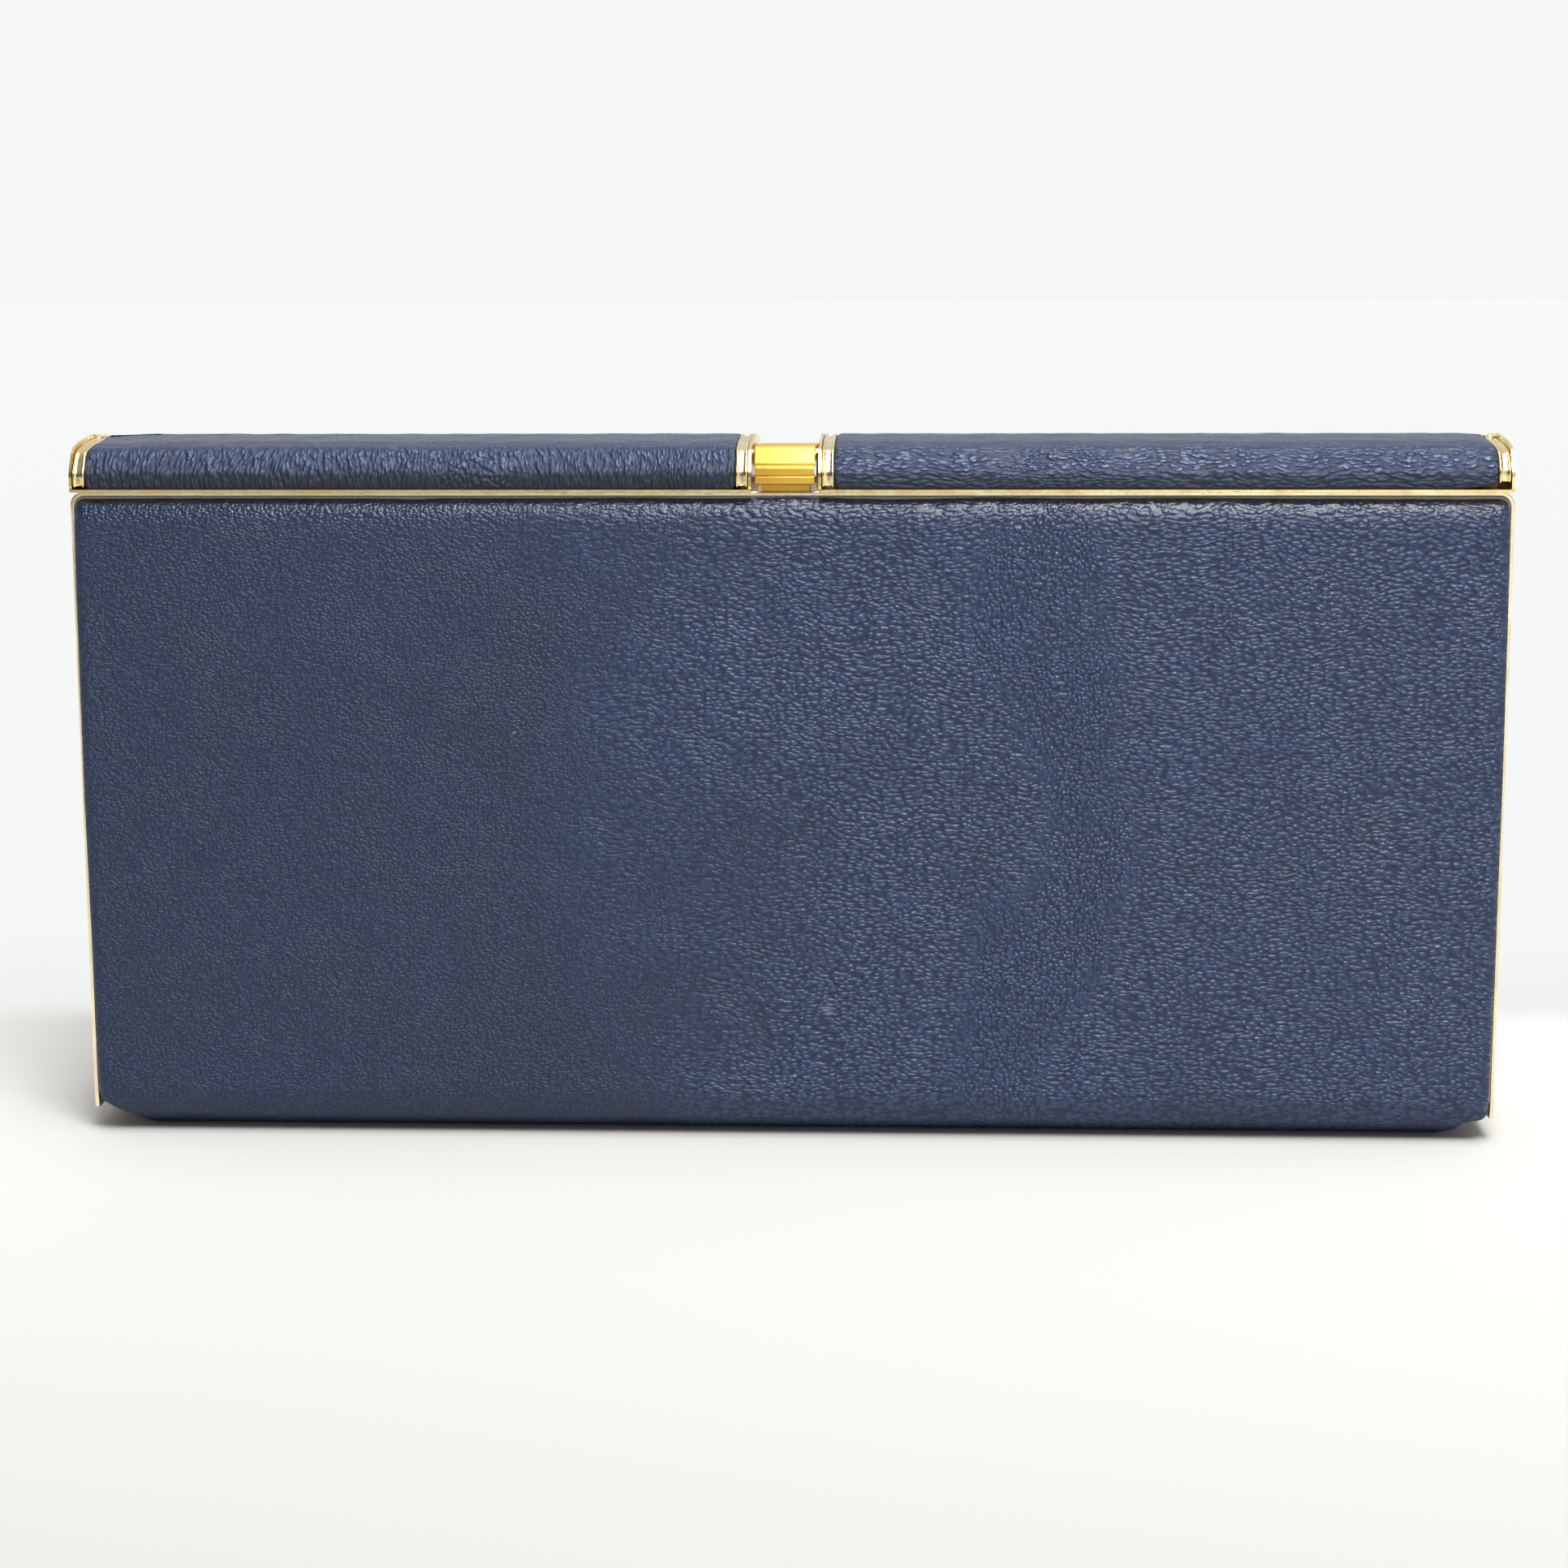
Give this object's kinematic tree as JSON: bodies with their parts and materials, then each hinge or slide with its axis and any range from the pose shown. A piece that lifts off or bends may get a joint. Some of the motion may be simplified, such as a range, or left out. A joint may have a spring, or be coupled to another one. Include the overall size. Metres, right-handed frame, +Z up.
{
  "type": "eyeglasses case",
  "caption": "Eyeglasses case with two leather panels in gold metal rims, hinged at the bottom corners, with split top bars and a snap latch.",
  "frame": {"origin": "centre of the underside of the closed case, on the surface that it stands on", "axes": "+X runs to the right along the case, +Y from the front panel to the rear panel, +Z up"},
  "size_m": [0.1796, 0.025, 0.0887],
  "materials": {
    "rim_gold": "polished gold-plated strip, warm reflections, fine wear along the edges",
    "tray_gold": "thin folded gold-plated sheet, satin",
    "cap_gold": "pale gold-plated caps, polished, fine scratches",
    "latch_gold": "yellow gold plating, polished, worn at the rolled lip",
    "pin_gold": "gold-plated rivets, satin",
    "spring_steel": "spring steel leaf",
    "leather": "navy blue leather with a fine wrinkled grain, semi-gloss, slightly scuffed",
    "lining": "dark blue brushed lining",
    "gusset": "dark blue folded lining cloth",
    "board": "grey-brown fibreboard",
    "padding": "thin off-white foam",
    "core": "black moulded bar"
  },
  "bodies": {
    "rear_half": {"gusset_left": "gusset", "gusset_right": "gusset", "hinge_pin_left": "pin_gold", "hinge_pin_right": "pin_gold", "latch_bracket": "latch_gold", "latch_pin": "pin_gold", "latch_spring": "spring_steel", "rear_bar_leather_left": "leather", "rear_bar_leather_right": "leather", "rear_board": "board", "rear_core_left": "core", "rear_core_right": "core", "rear_inner_cap_left": "cap_gold", "rear_inner_cap_right": "cap_gold", "rear_leather": "leather", "rear_lining": "lining", "rear_outer_cap_left": "cap_gold", "rear_outer_cap_right": "cap_gold", "rear_padding": "padding", "rear_rim": "rim_gold", "rear_rivets": "pin_gold", "rear_tray_left": "tray_gold", "rear_tray_right": "tray_gold", "spine_leather": "leather", "spine_lining": "lining"},
    "front_half": {"front_bar_leather_left": "leather", "front_bar_leather_right": "leather", "front_board": "board", "front_core_left": "core", "front_core_right": "core", "front_inner_cap_left": "cap_gold", "front_inner_cap_right": "cap_gold", "front_leather": "leather", "front_lining": "lining", "front_outer_cap_left": "cap_gold", "front_outer_cap_right": "cap_gold", "front_padding": "padding", "front_rim": "rim_gold", "front_rivets": "pin_gold", "front_tray_left": "tray_gold", "front_tray_right": "tray_gold", "catch_plate": "latch_gold"},
    "latch": {"latch_plate": "latch_gold"}
  },
  "joints": [
    {"name": "front_open", "type": "hinge", "parent": "rear_half", "child": "front_half", "pos_m": [0, 0, 0.0055], "axis": [1, 0, 0], "range_deg": [0, 28], "deforming": ["gusset_left", "gusset_right", "spine_leather", "spine_lining"]},
    {"name": "latch_lift", "type": "hinge", "parent": "rear_half", "child": "latch", "pos_m": [0, 0.0095, 0.0852], "axis": [-1, 0, 0], "range_deg": [0, 80]}
  ]
}
